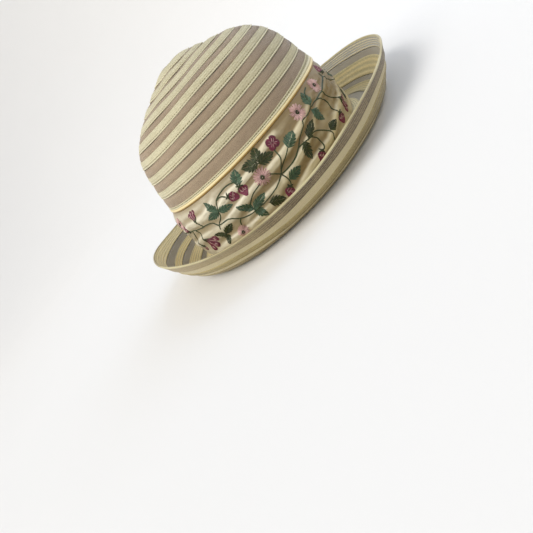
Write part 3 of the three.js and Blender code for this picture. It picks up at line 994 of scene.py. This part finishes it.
# Seams between the rings, at the front, the sides and the back.
BRIM_RINGS = {
    "brim_straw_foot": ((0, 0, 0), (0.12, 0.12, 0.31)),
    "brim_sheer_inner": ((0.12, 0.12, 0.31), (0.235, 0.235, 0.4)),
    "brim_straw_fold": ((0.235, 0.235, 0.4), (0.4, 0.43, 0.54)),
    "brim_sheer_middle": ((0.4, 0.43, 0.54), (0.47, 0.49, 0.63)),
    "brim_straw_middle": ((0.47, 0.49, 0.63), (0.72, 0.625, 0.73)),
    "brim_sheer_outer": ((0.72, 0.625, 0.73), (0.83, 0.8, 0.84)),
    "brim_straw_rim": ((0.83, 0.8, 0.84), (1, 1, 1)),
}


def eased(rows, at, column):
    """Smooth value of a table between its rows, without overshoot."""
    def slope(index):
        if index in (0, len(rows) - 1):
            return chord(min(index, len(rows) - 2))
        before, after = chord(index - 1), chord(index)
        return 0 if before * after <= 0 else 2 * before * after / (before + after)

    def chord(index):
        first, second = rows[index], rows[index + 1]
        return (second[column] - first[column]) / (second[0] - first[0])

    lower = max(index for index in range(len(rows) - 1) if rows[index][0] <= max(at, 0))
    step = rows[lower + 1][0] - rows[lower][0]
    share = (at - rows[lower][0]) / step
    rise = rows[lower + 1][column] - rows[lower][column]
    first, second = slope(lower) * step, slope(lower + 1) * step
    curve = eased_share(share) * rise
    return rows[lower][column] + curve + share * (1 - share) * ((1 - share) * first - share * second)


def long_oval(turn, front, back, side):
    """Egg-shaped outline of the brim, a little more pointed to the front."""
    across, along = math.cos(turn), math.sin(turn)
    if along > 0:
        return Vector((side * across, back * along))
    power = 2 / FRONT_POWER
    return Vector((side * math.copysign(abs(across) ** power, across), -front * abs(along) ** power))


def rim_height(turn):
    along = math.sin(turn)
    front, back, side = RIM_HEIGHT
    level = side + ((back + front) / 2 - side) * along**2 + (back - front) / 2 * along**3
    return level - RIM_SWING * (along - along**3)


def brim_point(turn, at):
    """Middle of the brim's wall at an angle and a share of the way to the rim."""
    out = eased(BRIM_SECTION, at, 1) + eased(BRIM_SECTION, at, 3) * math.sin(turn) ** 2
    foot = oval_point(turn, CROWN_LINE[0].x, SHEER_MIDDLE, 0).xy - Vector((0, AXIS_Y))
    fold, rim = long_oval(turn, *FOLD), long_oval(turn, *RIM)
    plan = foot.lerp(fold, out) if out < 1 else fold.lerp(rim, out - 1)
    lift = eased(BRIM_SECTION, at, 2)
    height = BRIM_FOOT if at < FOLD_PLACE else rim_height(turn)
    loose = held_in((at - RIPPLE_START) * RIPPLE_GROWTH)
    ripple = RIM_RIPPLE * loose * math.sin(9 * turn + 14 * at)
    return Vector((plan.x, plan.y + AXIS_Y, BRIM_REST + lift * height + ripple))


def brim_square(turn, at):
    """Direction square to the brim, on its upper face."""
    outward = brim_point(turn, at + NEARBY) - brim_point(turn, at - NEARBY)
    around = brim_point(turn + NEARBY, at) - brim_point(turn - NEARBY, at)
    return outward.cross(around).normalized()


def ring_mesh(name, across_steps, half_wall):
    """Closed section swept round the brim: along its under face and back along its upper face.
    half_wall(way, width) is half the thickness at a distance from the inner edge."""
    inner, outer = BRIM_RINGS[name]

    def seam(turn, places):
        front, side, back = places
        lean = math.sin(turn)
        end = back if lean > 0 else front
        share = held_in((abs(lean) - 0.2) / 0.5)
        return side + (end - side) * eased_share(share)

    reach = (brim_point(TURN / 4, outer[2]) - brim_point(TURN / 4, inner[2])).length
    side_reach = (brim_point(0, outer[1]) - brim_point(0, inner[1])).length
    width = (reach + side_reach) / 2

    def place(turn, across):
        upper = across > 0.5
        way = 2 * (1 - across) if upper else 2 * across
        if min(way, 1 - way) < EDGE_SHARE:
            way = 0.5 - 0.5 * math.cos(math.pi * way)
        start = seam(turn, inner)
        at = start + (seam(turn, outer) - start) * way
        stand = half_wall(way * width, width) * (1 if upper else -1)
        return brim_point(turn, at) + brim_square(turn, at) * stand

    girth = (brim_point(0, outer[1]).x + brim_point(TURN / 4, outer[2]).y) * TURN / 2
    cells = (2 * round(girth / MM / 2), 2 * width / MM)
    return round_grid(place, RING_ROUND, across_steps, cells)


def straw_half_wall(way, width):
    """Rounded edges with a cord each, a groove beside it, and flat plaits between."""
    edge = min(way, width - way)
    if edge < CORD_WIDTH:
        radius = CORD_WIDTH / 2
        return CORD_HALF_WALL + CORD_SWELL * math.sqrt(max(0, radius**2 - (edge - radius) ** 2))
    plait = 2 * PLAIT_DEPTH * math.cos(TURN * (edge - CORD_WIDTH) / PLAIT_WIDTH)
    return PLAIT_HALF_WALL + plait


def sheer_half_wall(way, width):
    """The same all over the cloth."""
    return SHEER_HALF_WALL


# Each straw ring has a lit and a shaded copy of its material: the inner faces are painted lighter,
# painted light, and the outer faces darker, painted shade. The rim's outer face is painted darkest and
# its inner face grey at the front, painted shade, both lighter towards the back, painted light where
# the light falls.
inner_straw = straw_finish(
    "brim_straw_inside", dyed(252, 234, 180), dyed(180, 170, 130), 0.7, lit_back_span=(-0.12, 0.08, 0.3)
)
outer_straw = straw_finish("brim_straw_outside", dyed(182, 164, 112), dyed(98, 84, 44), 0.6)
rim_straw = straw_finish(
    "brim_straw_at_rim", dyed(172, 154, 114), dyed(62, 46, 30), 0.5, lit_back_span=(0.03, 0.13, 0.65)
)
inner_rim = straw_finish(
    "brim_straw_inside_rim", dyed(236, 222, 176), dyed(158, 162, 168), 0.7, lit_back_span=(-0.12, 0.1, 0.7)
)
# The outer cloth is painted pale, painted light let through it; the inner cloth is painted lighter at
# the front, painted light let through it, and darker towards the back.
inner_sheer = sheer_finish("brim_cloth_inside", dyed(132, 122, 102), dyed(206, 199, 184), 0.65)
outer_sheer = sheer_finish("brim_cloth_outside", dyed(226, 212, 168), dyed(172, 156, 112), 0.75)
for ring_name in BRIM_RINGS:
    outside, inside = outer_sheer, inner_sheer
    across_steps, half_wall, slot = SHEER_ACROSS, sheer_half_wall, "sheer"
    if "straw" in ring_name:
        outside, inside = outer_straw, inner_straw
        across_steps, half_wall, slot = STRAW_ACROSS, straw_half_wall, "straw_brim"
    if ring_name == "brim_straw_rim":
        outside, inside = rim_straw, inner_rim
    ring = sewn_piece(
        "ring_" + ring_name.removeprefix("brim_"),
        ring_mesh(ring_name, across_steps, half_wall), outside, slot, ring_name,
    )
    # The upper face of each ring is painted with the inside copy and the under face with the outside
    # copy, as painted light and shade.
    ring.data.materials.append(inside.material)
    weave = ring.data.uv_layers["weave"].data
    upper_from = max(corner.uv.y for corner in weave) / 2
    for polygon in ring.data.polygons:
        middle = sum(weave[loop].uv.y for loop in polygon.loop_indices) / 4
        polygon.material_index = int(middle > upper_from)

# Rim cord: a cream cord bound over the outer edge of the last straw ring, where it stiffens the
# brim. It is sewn down all the way round.
RIM_CORD_RADIUS = 1 * MM
RIM_CORD_GRID = (420, 12)
RIM_CORD_CELLS = (900, 8)
cord_finish = satin_finish("cream_cord")
soft = cord_finish.step(cord_finish.cloudy(18, 2), 0.35, 0.65)
cord_finish.paint(cord_finish.mix(soft, dyed(160, 146, 106), dyed(200, 190, 148)))


def rim_middle(turn):
    return brim_point(turn, 1)


def rim_out(turn):
    """Level direction square to the rim."""
    along = rim_middle(turn + NEARBY) - rim_middle(turn - NEARBY)
    return along.cross(Vector((0, 0, 1))).normalized()


rim_mesh = tube_ring(
    rim_middle, rim_out, RIM_CORD_RADIUS, RIM_CORD_RADIUS, RIM_CORD_GRID, RIM_CORD_CELLS
)
sewn_piece("corded_rim", rim_mesh, cord_finish, "cord", "rim_cord")

# Studio: pale floor that lies just below the fold and sweeps up all round, a soft sun from behind
# and above, a little on the camera's side, a weak cool light from the front and an even surround.
FLOOR_RADIUS = 4
FLOOR_STEPS = 96
FLOOR_LEVEL = 1.3
FLOOR_RISE = 0.3
FLOOR_DROP = 0.5 * MM
SUN_AIM = Vector((0.2, -1.0, -1.15))
SKY_PLACE = Vector((0.3, -1.4, 1.2))
LIT_POINT = Vector((0, 0, 0.06))
SURROUND = 0.62
floor_mesh = bpy.data.meshes.new("floor")
bm = bmesh.new()
bmesh.ops.create_grid(bm, x_segments=FLOOR_STEPS, y_segments=FLOOR_STEPS, size=FLOOR_RADIUS)
for vert in bm.verts:
    vert.co *= max(abs(vert.co.x), abs(vert.co.y)) / max(vert.co.xy.length, MM)
    beyond = max(0, vert.co.xy.length - FLOOR_LEVEL)
    vert.co.z = FLOOR_RISE * beyond**2 - FLOOR_DROP
bm.to_mesh(floor_mesh)
bm.free()
floor_mesh.shade_smooth()
floor_finish = Finish("pale_floor", Roughness=0.9, Specular_IOR_Level=0.1)
floor_shade = floor_finish.cloudy(4, 2) * 0.3
floor_finish.paint(floor_finish.mix(floor_shade, dyed(230, 229, 228), dyed(224, 223, 222)))
floor_mesh.materials.append(floor_finish.material)
floor = bpy.data.objects.new("floor", floor_mesh)
bpy.context.scene.collection.objects.link(floor)


def lamp(name, kind, power, colour, place, aim, **settings):
    """Light that shines along aim. A sun is the same from any place."""
    light = bpy.data.lights.new(name, kind)
    light.energy = power
    light.color = colour
    for setting, value in settings.items():
        setattr(light, setting, value)
    holder = bpy.data.objects.new(name, light)
    holder.location = place
    holder.rotation_euler = aim.to_track_quat("-Z", "Y").to_euler()
    bpy.context.scene.collection.objects.link(holder)


lamp(
    "key", "SUN", power=2.0, colour=(1.0, 0.98, 0.93), place=-SUN_AIM, aim=SUN_AIM,
    angle=math.radians(35),
)
lamp(
    "sky", "AREA", power=10, colour=(0.58, 0.74, 1.0), place=SKY_PLACE, aim=LIT_POINT - SKY_PLACE,
    shape="DISK", size=1.2,
)
world = bpy.data.worlds.new("surround")
world.use_nodes = True
world.node_tree.nodes["Background"].inputs["Color"].default_value = (1.0, 1.0, 1.0, 1.0)
world.node_tree.nodes["Background"].inputs["Strength"].default_value = SURROUND
bpy.context.scene.world = world
bpy.context.scene.view_settings.view_transform = "Standard"

# Camera at the photo's angle: behind the left side, a little above the crown's middle, turned
# on its side by about half a right angle, so the hat leans in the picture.
CAMERA_PLACE = Vector((-0.4165, 0.0789, 0.137))
CAMERA_LOOK = Vector((1.0194, 0.0224, -0.4675))
CAMERA_ROLL = math.radians(-49.34)
LENS_LENGTH = 26.71
lens = bpy.data.cameras.new("camera")
lens.lens = LENS_LENGTH
lens.clip_start = 0.02
lens.clip_end = 50
camera = bpy.data.objects.new("camera", lens)
bpy.context.scene.collection.objects.link(camera)
camera_turn = CAMERA_LOOK.to_track_quat("-Z", "Y").to_matrix() @ Matrix.Rotation(CAMERA_ROLL, 3, "Z")
camera.matrix_world = Matrix.Translation(CAMERA_PLACE) @ camera_turn.to_4x4()
bpy.context.scene.camera = camera
